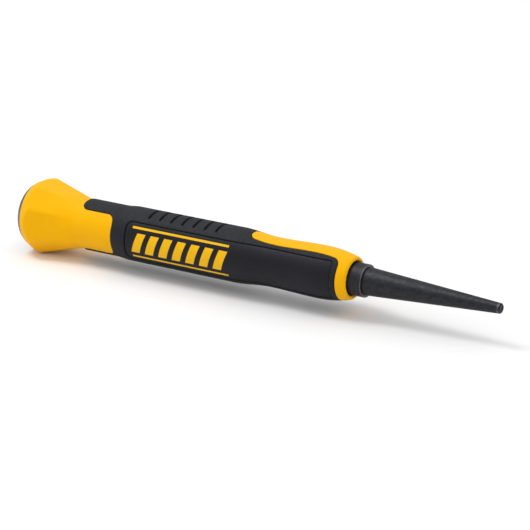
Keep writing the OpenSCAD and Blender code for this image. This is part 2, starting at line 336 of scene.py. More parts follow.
def run(start, end, step):
    """Points from start to end, no further apart than step."""
    start, end = np.array(start, float), np.array(end, float)
    count = max(1, math.ceil(np.linalg.norm(end - start) / step - ROUND_OFF))
    return start + (end - start) * np.linspace(0, 1, count + 1)[:, None]


def chain(*lines):
    """Lines joined end to end, without the points that they share."""
    points = np.concatenate(lines)
    gaps = np.linalg.norm(np.diff(points, axis=0), axis=1)
    return points[np.append(True, gaps > SAME_POINT)]


def eased(corners, step):
    """Straight runs through corners given as (u, v, rounding)."""
    places = [np.array(corner[:2], float) for corner in corners]
    points = [places[0]]
    for before, place, after, corner in zip(places, places[1:], places[2:], corners[1:]):
        back = (before - place) / np.linalg.norm(before - place)
        ahead = (after - place) / np.linalg.norm(after - place)
        half = math.acos(np.clip(back @ ahead, -1, 1)) / 2
        if corner[2] == 0 or half > STRAIGHT:
            points.append(place)
            continue
        middle = back + ahead
        centre = place + middle / np.linalg.norm(middle) * corner[2] / math.sin(half)
        first = place + back * corner[2] / math.tan(half) - centre
        last = place + ahead * corner[2] / math.tan(half) - centre
        sweep = math.pi - 2 * half
        count = max(2, math.ceil(sweep / CORNER_TURN), math.ceil(sweep * corner[2] / step))
        for part in np.linspace(0, 1, count + 1):
            reach = first * math.sin((1 - part) * sweep) + last * math.sin(part * sweep)
            points.append(centre + reach / math.sin(sweep))
    points.append(places[-1])
    return chain(*(run(a, b, step) for a, b in zip(points, points[1:])))


def beside(line, distance, closed=False):
    """A line moved sideways, to its left where distance is above zero."""
    if closed:
        along = np.roll(line, -1, axis=0) - np.roll(line, 1, axis=0)
    else:
        along = np.gradient(line, axis=0)
    along /= np.linalg.norm(along, axis=1)[:, None]
    return line + distance * np.stack([-along[:, 1], along[:, 0]], axis=1)


def inside(points, loop):
    """Which points lie inside a closed loop."""
    x, y = points[:, 0, None], points[:, 1, None]
    ax, ay = loop.T
    bx, by = np.roll(loop, -1, axis=0).T
    crossed = (ay > y) != (by > y)
    rise = np.where(by == ay, 1, by - ay)
    return (crossed & (x < ax + (bx - ax) * (y - ay) / rise)).sum(axis=1) % 2 == 1


def away_from(points, line):
    """Distance of each point from a line."""
    start, along = line[:-1], np.diff(line, axis=0)
    offset = points[:, None] - start
    part = np.clip((offset * along).sum(axis=2) / (along ** 2).sum(axis=1), 0, 1)
    return np.linalg.norm(offset - part[:, :, None] * along, axis=2).min(axis=1)


def wave(x, x_from, r_from, x_to, r_to):
    """Runs from one radius to another, level at both ends."""
    part = np.clip((x - x_from) / (x_to - x_from), 0, 1)
    return r_from + (r_to - r_from) * (1 - np.cos(math.pi * part)) / 2


def body_radius(x):
    """Radius of the grip's skin at each place along the tool."""
    grip = sizes().grip
    radius = wave(x, grip.window_x, grip.neck_r + grip.tongue_proud, grip.window_x + grip.step, grip.grip_r)
    fall = wave(x, grip.fall_x, grip.grip_r, grip.waist_x, grip.waist_r)
    rise = wave(x, grip.waist_x, grip.waist_r, grip.swell_x, grip.swell_r)
    radius = np.where(x > grip.fall_x, fall, radius)
    radius = np.where(x > grip.waist_x, rise, radius)
    past = np.maximum(x - grip.swell_x, 0)
    return np.where(past > 0, grip.swell_r - grip.brow_r + np.sqrt(grip.brow_r ** 2 - past ** 2), radius)


def unrolled(plan):
    """A line drawn in plan, laid on the top half of the skin."""
    turn = np.arcsin(np.clip(plan[:, 1] / body_radius(plan[:, 0]), 0, 1))
    return np.stack([plan[:, 0], turn * SKIN_R], axis=1)


def below(line):
    """The same line on the underside, drawn the other way."""
    return line[::-1] * (1, -1) + (0, HALF)


def rear_outline():
    """Rear edge of the rubber: the upper tongue, the yellow window and the lower tongue."""
    grip = sizes().grip
    side = grip.tongue_w / 2
    plan = eased([(SLEEVE_LOW.x, 0, 0), (SLEEVE_LOW.x, side, grip.tongue_corner),
                  (grip.window_x, side, grip.window_corner),
                  (grip.window_x, side + grip.window_corner, 0)], EDGE_STEP)
    top = unrolled(plan)
    return chain(top, run(top[-1], (grip.window_x, HALF - top[-1, 1]), EDGE_STEP), below(top))


def front_outline():
    """Front edge of the rubber: round the pad on top, then round the nose."""
    pad = sizes().pad
    side = pad.width / 2
    plan = eased([(pad.pad_x, 0, 0), (pad.pad_x, pad.end_w / 2, pad.end_corner),
                  (pad.pad_x + pad.taper, side, 0), (SLEEVE_HIGH.x, side, pad.corner),
                  (SLEEVE_HIGH.x, side + pad.corner, 0)], EDGE_STEP)
    top = unrolled(plan)
    return chain(top, run(top[-1], (SLEEVE_HIGH.x, HALF), EDGE_STEP))


def panel_loop():
    """Edge of a side panel, with the panel on its left."""
    panel = sizes().panel
    edge_z = panel.height / 2
    edge_y = math.sqrt(sizes().grip.grip_r ** 2 - edge_z ** 2)
    level = edge_z * math.cos(panel.slope) - edge_y * math.sin(panel.slope)
    drawn = eased([(PANEL_LOW.x, panel.rear_corner, 0), (PANEL_LOW.x, 0, panel.rear_corner),
                   (PANEL_HIGH.x, 0, panel.front_corner), (PANEL_HIGH.x, panel.front_corner, 0)], EDGE_STEP)
    turn = np.arccos((level - drawn[:, 1]) / body_radius(drawn[:, 0])) - panel.slope
    edge = np.stack([drawn[:, 0], turn * SKIN_R], axis=1)
    upper = chain(run((PANEL_LOW.x, HALF / 2), edge[0], EDGE_STEP), edge,
                  run(edge[-1], (PANEL_HIGH.x, HALF / 2), EDGE_STEP))
    return chain(upper, below(upper))[:-1]


def lip_drop(away, rounding):
    """How far a rounded edge has dropped, by the distance from its wall."""
    left = np.clip(rounding - away, 0, rounding)
    return rounding - np.sqrt(rounding ** 2 - left ** 2)


class SkinPlan:
    """A drawing on the unrolled skin of one half of the handle."""

    def __init__(self):
        self.points = np.empty((0, 2))
        self.edges = []

    def draw(self, line, closed=False):
        """Adds a line, closed or open."""
        first = len(self.points)
        self.points = np.concatenate([self.points, line])
        self.edges += [(i, i + 1) for i in range(first, first + len(line) - 1)]
        if closed:
            self.edges.append((first + len(line) - 1, first))

    def draw_edge(self, line, rounding, closed=False):
        """A line and the lines of its rounded edge, on its left for a positive rounding."""
        for turn in LIP_TURNS:
            self.draw(beside(line, rounding * (1 - math.cos(turn)), closed), closed)
        self.draw(beside(line, rounding + math.copysign(EDGE_STEP, rounding), closed), closed)

    def fill(self, low, high):
        """Evenly spread points, clear of the lines that are drawn."""
        along = np.linspace(low, high, math.ceil((high - low) / FILL_STEP) + 1)
        around = np.linspace(0, HALF, math.ceil(HALF / FILL_STEP) + 1)
        grid = np.stack(np.meshgrid(along, around), axis=2).reshape(-1, 2)
        clear = [np.linalg.norm(self.points - point, axis=1).min() > FILL_CLEAR for point in grid]
        self.points = np.concatenate([self.points, grid[clear]])

    def triangles(self):
        """The drawing as points and triangles that keep its lines."""
        places = [Vector(point) for point in self.points]
        points, _, faces, *_ = delaunay_2d_cdt(places, self.edges, [], 0, SAME_POINT)
        return np.array([point[:] for point in points]), np.array(faces)


def open_edges(triangles):
    """Edges that only one of the triangles has."""
    sides = [triangles[:, ends] for ends in ([0, 1], [1, 2], [2, 0])]
    pairs = np.sort(np.concatenate(sides), axis=1)
    edges, uses = np.unique(pairs, axis=0, return_counts=True)
    return edges[uses == 1]


def walls(points, triangles):
    """Edges of a patch of skin, apart from those on the top and bottom lines."""
    edges = open_edges(triangles)
    around = points[edges, 1]
    on_top = (np.abs(around) < ON_LINE).all(axis=1)
    on_bottom = (np.abs(around - HALF) < ON_LINE).all(axis=1)
    return edges[~(on_top | on_bottom)]


# Meshes

class Shell:
    """Points and faces of one piece while it is put together."""

    def __init__(self):
        self.points, self.faces, self.wear_and_painted_light = [], [], []

    def add(self, points, wear_and_painted_light=0.0):
        """Adds points and gives their numbers."""
        first = len(self.points)
        self.points += [tuple(point) for point in points]
        self.wear_and_painted_light += [wear_and_painted_light] * len(points)
        return np.arange(first, first + len(points))

    def loft(self, rings):
        """Joins rings of points, each given with its wear and painted light; a ring of one point is a pole.
        """
        rows = [self.add(points, wear_and_painted_light) for points, wear_and_painted_light in rings]
        for a, b in zip(rows, rows[1:]):
            for i in range(SIDES):
                j = (i + 1) % SIDES
                if len(a) == 1:
                    self.faces.append((a[0], b[i], b[j]))
                elif len(b) == 1:
                    self.faces.append((a[i], a[j], b[0]))
                else:
                    self.faces.append((a[i], a[j], b[j], b[i]))

    def skin(self, points, triangles, radius, side):
        """One half of a patch of skin; side is 1 for +Y and -1 for -Y."""
        turn = points[:, 1] / SKIN_R
        radius = np.broadcast_to(radius, turn.shape)
        row = self.add(np.stack([points[:, 0], side * radius * np.sin(turn), radius * np.cos(turn)], axis=1))
        self.faces += [tuple(row[triangle]) for triangle in triangles]
        return row

    def wall(self, edges, upper, lower):
        """Joins the edges of two patches of skin."""
        self.faces += [(upper[a], upper[b], lower[b], lower[a]) for a, b in edges]

    def mesh(self, name):
        """The closed mesh, with its doubles merged and its faces pointing outwards."""
        mesh = bpy.data.meshes.new(name)
        mesh.from_pydata(self.points, [], self.faces)
        if any(self.wear_and_painted_light):
            mesh.attributes.new("wear_and_painted_light", "FLOAT", "POINT").data.foreach_set("value", self.wear_and_painted_light)
        work = bmesh.new()
        work.from_mesh(mesh)
        bmesh.ops.delete(work, geom=[vert for vert in work.verts if not vert.link_faces], context="VERTS")
        bmesh.ops.remove_doubles(work, verts=work.verts, dist=MERGED)
        bmesh.ops.dissolve_degenerate(work, edges=work.edges, dist=ON_LINE)
        bmesh.ops.recalc_face_normals(work, faces=work.faces)
        gaps = sum(not edge.is_manifold for edge in work.edges)
        work.to_mesh(mesh)
        work.free()
        if gaps:
            raise RuntimeError(f"{name} has {gaps} open edges")
        return mesh


def ring(x, radius, wear_and_painted_light=0.0):
    """A ring about the tool's axis; the radius may change from angle to angle."""
    radius = np.broadcast_to(radius, SIDES)
    return np.stack([np.full(SIDES, x), radius * np.sin(ANGLES), radius * np.cos(ANGLES)], axis=1), wear_and_painted_light


def pole(x):
    """The point where a piece closes on the tool's axis."""
    return [(x, 0, 0)], 0.0


def turned(corners, wear_and_painted_light=0.0):
    """Rings of a turned outline through corners given as (x, radius, rounding)."""
    return [ring(x, radius, wear_and_painted_light) for x, radius in eased(corners, UNDIVIDED)]


def hexagon(flats):
    """Radius of a hexagon at each angle, with corners at top and bottom."""
    return flats / 2 / np.cos(ANGLES % math.radians(60) - math.radians(30))


def eight_flats():
    """Share of the radius that four wide flats, and four narrow ones between them, leave at each angle."""
    cap = sizes().cap
    quarter = math.radians(90)
    wide = cap.flat_span / 2
    narrow = quarter / 2 - cap.flat_edge - wide
    from_wide = (ANGLES + quarter / 2) % quarter - quarter / 2
    from_narrow = ANGLES % quarter - quarter / 2
    flats = np.minimum(math.cos(wide) / np.cos(from_wide), math.cos(narrow) / np.cos(from_narrow))
    return np.minimum(1, flats)


def place_piece(mesh, name, body, material, nodes=()):
    """Puts a finished mesh into the scene and ties it to its body, slot and nodes."""
    mesh.shade_smooth()
    mesh.set_sharp_from_angle(angle=SHARP_ANGLE)
    mesh.materials.clear()
    mesh.materials.append(material)
    piece = bpy.data.objects.new(name, mesh)
    bpy.context.scene.collection.objects.link(piece)
    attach(piece, body)
    if nodes:
        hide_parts(*nodes)


# Node trees

class Nodes:
    """Adds nodes to a tree and joins them."""

    def __init__(self, tree):
        self.tree = tree
        tree.nodes.clear()

    def add(self, kind, inputs=None, **settings):
        """A new node with its inputs joined or set."""
        node = self.tree.nodes.new(kind)
        for name, value in settings.items():
            setattr(node, name, value)
        for key, value in (inputs or {}).items():
            self.put(node.inputs[key], value)
        return node

    def put(self, socket, value):
        """Joins a socket to another one, or sets it to a value."""
        if isinstance(value, bpy.types.NodeSocket):
            self.tree.links.new(value, socket)
        else:
            socket.default_value = value

    def math(self, operation, *values):
        """The result of a calculation."""
        return self.add("ShaderNodeMath", dict(enumerate(values)), operation=operation).outputs[0]

    def vector(self, x=0.0, y=0.0, z=0.0):
        """A vector from its three parts."""
        return self.add("ShaderNodeCombineXYZ", {"X": x, "Y": y, "Z": z}).outputs[0]

    def hypotenuse(self, a, b):
        """The long side of a right triangle."""
        squares = self.math("ADD", self.math("POWER", a, 2.0), self.math("POWER", b, 2.0))
        return self.math("SQRT", squares)

    def parts(self, vector):
        """The three parts of a vector."""
        return self.add("ShaderNodeSeparateXYZ", {0: vector}).outputs


class ShapeTree(Nodes):
    """A Geometry Nodes tree with named inputs."""

    KINDS = {float: "NodeSocketFloat", int: "NodeSocketInt", bpy.types.Material: "NodeSocketMaterial"}

    def __init__(self, name, values):
        super().__init__(bpy.data.node_groups.new(name, "GeometryNodeTree"))
        face = self.tree.interface
        face.new_socket("Geometry", in_out="OUTPUT", socket_type="NodeSocketGeometry")
        face.new_socket("Geometry", in_out="INPUT", socket_type="NodeSocketGeometry")
        self.values = {}
        for label, value in values.items():
            socket = face.new_socket(label, in_out="INPUT", socket_type=self.KINDS[type(value)])
            self.values[socket.identifier] = value
        self.source = self.add("NodeGroupInput").outputs

    def made(self, kind, inputs=None, **settings):
        """The first output of a new geometry node."""
        return self.add("GeometryNode" + kind, inputs, **settings).outputs[0]

    def position(self):
        """The three coordinates of each point."""
        return self.parts(self.made("InputPosition"))

    def moved(self, geometry, offset):
        """Geometry whose points are moved by an offset."""
        return self.made("SetPosition", {"Geometry": geometry, "Offset": offset})

    def joined(self, *pieces):
        """Several pieces of geometry as one."""
        join = self.add("GeometryNodeJoinGeometry")
        for piece in pieces:
            self.put(join.inputs[0], piece)
        return join.outputs[0]

    def end(self, geometry):
        """Closes the tree: real geometry with its material."""
        real = self.made("RealizeInstances", {"Geometry": geometry})
        coated = self.made("SetMaterial", {"Geometry": real, "Material": self.source["Material"]})
        self.add("NodeGroupOutput", {"Geometry": coated})

    def make(self, mesh):
        """Runs the tree on a mesh and gives the result as a plain mesh."""
        holder = bpy.data.objects.new(self.tree.name, mesh)
        bpy.context.scene.collection.objects.link(holder)
        modifier = holder.modifiers.new(self.tree.name, "NODES")
        modifier.node_group = self.tree
        for identifier, value in self.values.items():
            modifier[identifier] = value
        ready = holder.evaluated_get(bpy.context.evaluated_depsgraph_get())
        result = bpy.data.meshes.new_from_object(ready)
        holder.modifiers.clear()
        bpy.data.objects.remove(holder)
        if not result.polygons:
            raise RuntimeError(f"{self.tree.name} made no faces")
        return result


class Finish(Nodes):
    """A material on Object coordinates in millimetres."""

    def __init__(self, name, constants):
        self.material = bpy.data.materials.new(name)
        self.material.use_nodes = True
        super().__init__(self.material.node_tree)
        self.shader = self.add("ShaderNodeBsdfPrincipled", constants)
        self.add("ShaderNodeOutputMaterial", {"Surface": self.shader.outputs[0]})
        self.place = self.add("ShaderNodeTexCoord").outputs["Object"]

    def spot(self, per_mm, stretch=(1, 1, 1)):
        """Object coordinates with so many cells to the millimetre."""
        scale = [value * per_mm / MM for value in stretch]
        return self.add("ShaderNodeMapping", {"Vector": self.place, "Scale": scale}).outputs[0]

    def noise(self, per_mm, detail, stretch=(1, 1, 1)):
        """Noise with so many cells to the millimetre."""
        spot = self.spot(per_mm, stretch)
        return self.add("ShaderNodeTexNoise", {"Vector": spot, "Scale": 1.0, "Detail": detail}).outputs[0]

    def grain(self, per_mm):
        """Rounded cells, as in a moulded grain."""
        inputs = {"Vector": self.spot(per_mm), "Scale": 1.0}
        return self.add("ShaderNodeTexVoronoi", inputs, feature="SMOOTH_F1").outputs[0]

    def rings(self, per_mm, distortion, detail):
        """Uneven rings about the tool's axis."""
        waves = self.add("ShaderNodeTexWave", {
            "Vector": self.spot(1), "Scale": per_mm, "Distortion": distortion, "Detail": detail},
            wave_type="RINGS", rings_direction="X")
        return waves.outputs["Fac"]

    def between(self, pattern, low, high):
        """A value that follows a pattern from low to high."""
        return self.add("ShaderNodeMapRange", {
            "Value": pattern, "From Min": NOISE_RANGE[0], "From Max": NOISE_RANGE[1],
            "To Min": low, "To Max": high}).outputs[0]

    def tones(self, pattern, low, high):
        """A colour that follows a pattern from low to high."""
        ramp = self.add("ShaderNodeValToRGB", {"Fac": pattern})
        for stop, part, tone in zip(ramp.color_ramp.elements, NOISE_RANGE, (low, high)):
            stop.position = part
            stop.color = (*tone, 1)
        return ramp.outputs[0]

    def shades(self, pattern, tone, dark, light):
        """A tone that follows a pattern between two shares of itself."""
        low, high = [[min(1.0, part * share) for part in tone] for share in (dark, light)]
        return self.tones(pattern, low, high)

    def mixed(self, factor, low, high):
        """One colour over another by a factor."""
        # Inputs 6 and 7 and output 2 are the node's sockets for colours
        return self.add("ShaderNodeMix", {0: factor, 6: low, 7: high}, data_type="RGBA").outputs[2]

    def coat(self, tone):
        """Colours the surface."""
        self.put(self.shader.inputs["Base Color"], tone)

    def rough(self, pattern, low, high):
        """Roughness that follows a pattern from low to high."""
        self.put(self.shader.inputs["Roughness"], self.between(pattern, low, high))

    def relief(self, height, depth_mm, strength):
        """Fine relief of the surface."""
        bump = self.add("ShaderNodeBump", {"Height": height, "Distance": depth_mm * MM, "Strength": strength})
        self.put(self.shader.inputs["Normal"], bump.outputs[0])


# Constants of the plastics' shaders: a weak gloss, tinted on what is yellow
GLOSS = {"IOR": 1.5, "Specular IOR Level": 0.25}
YELLOW_GLOSS = {**GLOSS, "Specular Tint": (1, 0.6, 0.1, 1)}


def finish_named(name, make):
    """The material of that name, made once."""
    return bpy.data.materials.get(name) or make(name, sizes().finish)


def yellow_plastic(name, tones):
    """Moulded plastic with a fine satin surface and a slight drift of tone."""
    finish = Finish(name, YELLOW_GLOSS)
    finish.coat(finish.tones(finish.noise(per_mm=0.07, detail=3), tones.yellow_shade, tones.yellow))
    finish.rough(finish.noise(per_mm=0.9, detail=3), low=0.5, high=0.6)
    finish.relief(finish.noise(per_mm=4.5, detail=2), depth_mm=0.02, strength=0.5)
    return finish.material


def grip_rubber(name, tones):
    """Soft rubber with a matt moulded grain."""
    finish = Finish(name, GLOSS)
    finish.coat(finish.shades(finish.noise(per_mm=0.15, detail=4), tones.rubber, dark=0.85, light=1.2))
    finish.rough(finish.noise(per_mm=1.2, detail=3), low=0.58, high=0.72)
    grain = finish.math("ADD", finish.grain(per_mm=3.2), finish.noise(per_mm=7, detail=2))
    finish.relief(grain, depth_mm=0.03, strength=0.5)
    return finish.material


def panel_plastic(name, tones):
    """Hard plastic, smoother than the rubber round it."""
    finish = Finish(name, {**GLOSS, "Specular IOR Level": 0.2})
    finish.coat(finish.shades(finish.noise(per_mm=0.1, detail=3), tones.panel, dark=0.88, light=1.15))
    finish.rough(finish.noise(per_mm=0.8, detail=3), low=0.46, high=0.56)
    finish.relief(finish.noise(per_mm=6, detail=2), depth_mm=0.012, strength=0.5)
    return finish.material


def black_steel(name, tones):
    """Turned steel with a black oxide finish, worn bright at its edges, where bare steel also stands for
    painted highlights, and with painted light on the collar's shaded front face.
    """
    finish = Finish(name, {"Metallic": 1.0})
    oxide = finish.shades(finish.noise(per_mm=0.9, detail=5), tones.oxide, dark=0.78, light=1.22)
    # Bare steel is mixed in at worn edges with painted highlights, and as painted light on the collar's front
    # face
    wear_and_light_share = finish.add("ShaderNodeAttribute", attribute_name="wear_and_painted_light").outputs["Fac"]
    patches = finish.between(finish.noise(per_mm=0.8, detail=3), low=0.15, high=1.0)
    finish.coat(finish.mixed(finish.math("MULTIPLY", wear_and_light_share, patches), oxide, (*tones.bare_steel_and_light, 1)))
    finish.rough(finish.noise(per_mm=0.7, detail=4), low=0.44, high=0.54)
    turning_marks = finish.noise(per_mm=8, detail=2, stretch=(1, 0.03, 0.03))
    finish.relief(turning_marks, depth_mm=0.006, strength=0.6)
    return finish.material


def strike_steel(name, tones):
    """Ground steel with fine rings and a few scratches."""
    finish = Finish(name, {"Metallic": 1.0})
    scratches = finish.noise(per_mm=2, detail=4, stretch=(1, 0.15, 2))
    finish.coat(finish.shades(scratches, tones.plate, dark=0.8, light=1.2))
    finish.rough(finish.noise(per_mm=1.1, detail=3), low=0.3, high=0.44)
    marks = finish.math("ADD", finish.rings(per_mm=1.6, distortion=0.8, detail=2), scratches)
    finish.relief(marks, depth_mm=0.008, strength=0.6)
    return finish.material


def spring_wire(name, tones):
    """Drawn wire."""
    finish = Finish(name, {"Metallic": 1.0})
    finish.coat(finish.shades(finish.noise(per_mm=2, detail=3), tones.wire, dark=0.85, light=1.1))
    finish.rough(finish.noise(per_mm=3, detail=3), low=0.25, high=0.4)
    return finish.material


def print_ink(name, tones):
    """Opaque printed ink with a slightly uneven coat."""
    finish = Finish(name, YELLOW_GLOSS)
    finish.coat(finish.shades(finish.noise(per_mm=1.4, detail=4), tones.ink, dark=0.9, light=1))
    finish.rough(finish.noise(per_mm=2, detail=3), low=0.4, high=0.52)
    return finish.material


def studio_floor(name, tones):
    """Pale floor with a barely uneven tone."""
    finish = Finish(name, {"Specular IOR Level": 0.1})
    finish.coat(finish.shades(finish.noise(per_mm=0.004, detail=2), tones.floor, dark=0.985, light=1))
    finish.rough(finish.noise(per_mm=0.02, detail=2), low=0.75, high=0.85)
    return finish.material


# Pieces

class NAILSETTER_OT_strike_plate(Operator):
    """Steel disc in the rear of the cap, with its stub"""
    bl_idname = "nail_setter.strike_plate"
    bl_label = "Strike plate"

    def execute(self, context):
        cap = sizes().cap
        seat_x, end_x = BAR_LOW.x, PLATE_HIGH.x
        inner_r = 0.4 * cap.face_r
        face_soft, side_soft, foot_soft = 0.1 * MM, 0.3 * MM, 0.08 * MM
        outline = turned([
            (0, inner_r, 0), (0, cap.face_r - cap.face_edge, face_soft),
            (cap.face_edge, cap.face_r, side_soft), (CORE_LOW.x, PLATE_HIGH.y, foot_soft),
            (CORE_LOW.x, cap.seat_r, 0), (seat_x, cap.seat_r, 0),
            (seat_x, cap.stub_r, 0), (end_x, cap.stub_r, 0)])
        shell = Shell()
        shell.loft([pole(0)] + outline + [pole(end_x)])
        place_piece(shell.mesh("strike_disc"), "strike_disc", "handle",
                    finish_named("ground steel", strike_steel), ["strike_plate"])
        return {"FINISHED"}


class NAILSETTER_OT_core_bar(Operator):
    """Steel bar with the collar and the socket for the bit"""
    bl_idname = "nail_setter.core_bar"
    bl_label = "Core bar"

    def execute(self, context):
        cap, steel = sizes().cap, sizes().steel
        bar, socket = hexagon(steel.bar_flats), hexagon(steel.socket_flats)
        front, edge, collar_r = BAR_HIGH.x, steel.collar_edge, steel.collar_r
        side_soft, front_soft = 0.1 * MM, 0.05 * MM
        outside = [
            pole(PLATE_HIGH.x), ring(PLATE_HIGH.x, cap.stub_r), ring(BAR_LOW.x, cap.stub_r),
            ring(BAR_LOW.x, bar), ring(steel.collar_x, bar), ring(steel.collar_x, collar_r),
            ring(front - 2 * edge, collar_r)]
        # Rings close to the chamfer carry its wear and a painted highlight
        side_wear_and_highlight = turned([
            (front - 1.4 * edge, collar_r, 0), (front - edge, collar_r, side_soft),
            (front - 0.7 * edge, collar_r - 0.3 * edge, 0)], SIDE_WEAR_AND_HIGHLIGHT)
        # Rings of the front edge and face carry painted light, which lifts the shade between the collar and
        # the bit's shoulder
        front_painted_light = turned([
            (front - 0.5 * edge, collar_r - 0.5 * edge, 0), (front, collar_r - edge, front_soft),
            (front, collar_r - 1.6 * edge, 0), (front, steel.shoulder_r, 0)], FRONT_PAINTED_LIGHT)
        groove_r = RING_HIGH.y + RING_ROOM
        hollow = [
            ring(front, socket * MOUTH_FLARE), ring(front - MOUTH_LENGTH, socket),
            ring(RING_HIGH.x, socket), ring(RING_HIGH.x, groove_r), ring(RING_LOW.x, groove_r),
            ring(RING_LOW.x, socket), ring(steel.socket_x, socket), pole(steel.socket_x)]
        shell = Shell()
        shell.loft(outside + side_wear_and_highlight + front_painted_light + hollow)
        place_piece(shell.mesh("socket_bar"), "socket_bar", "handle",
                    finish_named("black oxide", black_steel), ["core_bar"])
        return {"FINISHED"}


class NAILSETTER_OT_handle_core(Operator):
    """Yellow moulding: cap, neck, pad and nose"""
    bl_idname = "nail_setter.handle_core"
    bl_label = "Handle core"

    def execute(self, context):
        cap = sizes().cap
        start = CORE_LOW.x + cap.bevel + cap.cone + CONE_JOIN
        end = SLEEVE_HIGH.x + NOSE_JOIN
        bore_r = hexagon(sizes().steel.bar_flats).max()
        shell = Shell()
        self.skin(shell, start, end)
        shell.loft(self.cap_rings(start, bore_r))
        shell.loft(self.nose_rings(end, bore_r))
        place_piece(shell.mesh("yellow_handle"), "yellow_handle", "handle",
                    finish_named("yellow plastic", yellow_plastic), ["handle_core"])
        return {"FINISHED"}

    def skin(self, shell, start, end):
        """Skin of the neck, pad and nose, and the core that the rubber lies on."""
        grip, pad = sizes().grip, sizes().pad
        rear, front = rear_outline(), front_outline()
        plan = SkinPlan()
        column = np.linspace(0, HALF, SIDES // 2 + 1)
        for x in (start, end):
            plan.draw(np.stack([np.full(len(column), x), column], axis=1))
        plan.draw(rear)
        plan.draw(beside(rear, EDGE_STEP))
        plan.draw_edge(front, -pad.edge)
        plan.fill(start, end)
        points, triangles = plan.triangles()
        covered = inside(points[triangles].mean(axis=1), np.concatenate([rear, front[::-1]]))
        lip = lip_drop(away_from(points, front), pad.edge)
        radius = np.where(points[:, 0] > grip.fall_x, body_radius(points[:, 0]) - lip, grip.neck_r)
        edges = walls(points, triangles[covered])
        for side in (1, -1):
            upper = shell.skin(points, triangles[~covered], radius, side)
            lower = shell.skin(points, triangles[covered], grip.core_r, side)
            shell.wall(edges, upper, lower)

    def cap_rings(self, end, bore_r):
        """Seat of the strike plate, then the outside of the cap to the neck."""
        cap, neck_r = sizes().cap, sizes().grip.neck_r
        rear, seat_x = CORE_LOW.x, BAR_LOW.x
        rim_x = rear + cap.bevel
        land_soft, step = 0.12 * MM, 0.6 * MM
        seat = turned([(seat_x, bore_r, 0), (seat_x, cap.seat_r, 0), (rear, cap.seat_r, 0)])
        outline = eased([
            (rear, cap.seat_r, 0), (rear, PLATE_HIGH.y + cap.land, land_soft),
            (rim_x, cap.rim_r, cap.rim_round), (rim_x + cap.cone, neck_r, cap.cone_fillet),
            (end, neck_r, 0)], step)
        slope = (cap.rim_r - neck_r) / cap.cone
        flats = eight_flats()
        rings = []
        for x, radius in outline[1:]:
            past_rim = x - rim_x
            depth = np.interp(past_rim, (cap.flat_even, cap.flat_end), (1, 0))
            # Behind the rim the flats go on along the cone's line, so they run out on the bevel
            widest = max(radius, cap.rim_r - slope * past_rim)
            rings.append(ring(x, np.minimum(radius, widest * (1 - depth * (1 - flats)))))
        return seat + rings

    def nose_rings(self, start, bore_r):
        """Outside of the nose, its mouth, and the bore back to the seat of the plate."""
        grip, pad, steel = sizes().grip, sizes().pad, sizes().steel
        tip_x = SLEEVE_HIGH.x + pad.nose
        bow_r = pad.nose_round
        bow_x = tip_x - bow_r
        turn = math.asin((bow_x - grip.swell_x) / (grip.brow_r - bow_r))
        centre_r = grip.swell_r - grip.brow_r + (grip.brow_r - bow_r) * math.cos(turn)
        mouth_r = steel.collar_r + pad.mouth_gap
        last = math.acos((mouth_r + pad.lip - centre_r) / bow_r)
        join_x = bow_x + bow_r * math.sin(turn)
        brow_rings, bow_rings = 5, 12
        brow = [ring(x, body_radius(np.array(x))) for x in np.linspace(start, join_x, brow_rings)]
        bow = [ring(bow_x + bow_r * math.sin(a), centre_r + bow_r * math.cos(a))
               for a in np.linspace(turn, last, bow_rings)[1:]]
        lip_x = bow_x + bow_r * math.sin(last)
        lip_soft = 0.9 * pad.lip
        floor_x = tip_x - pad.mouth_deep
        mouth = turned([(lip_x, mouth_r + pad.lip, 0), (lip_x, mouth_r, lip_soft), (floor_x, mouth_r, 0),
                        (floor_x, bore_r, 0), (BAR_LOW.x, bore_r, 0)])
        return brow + bow + mouth[1:]


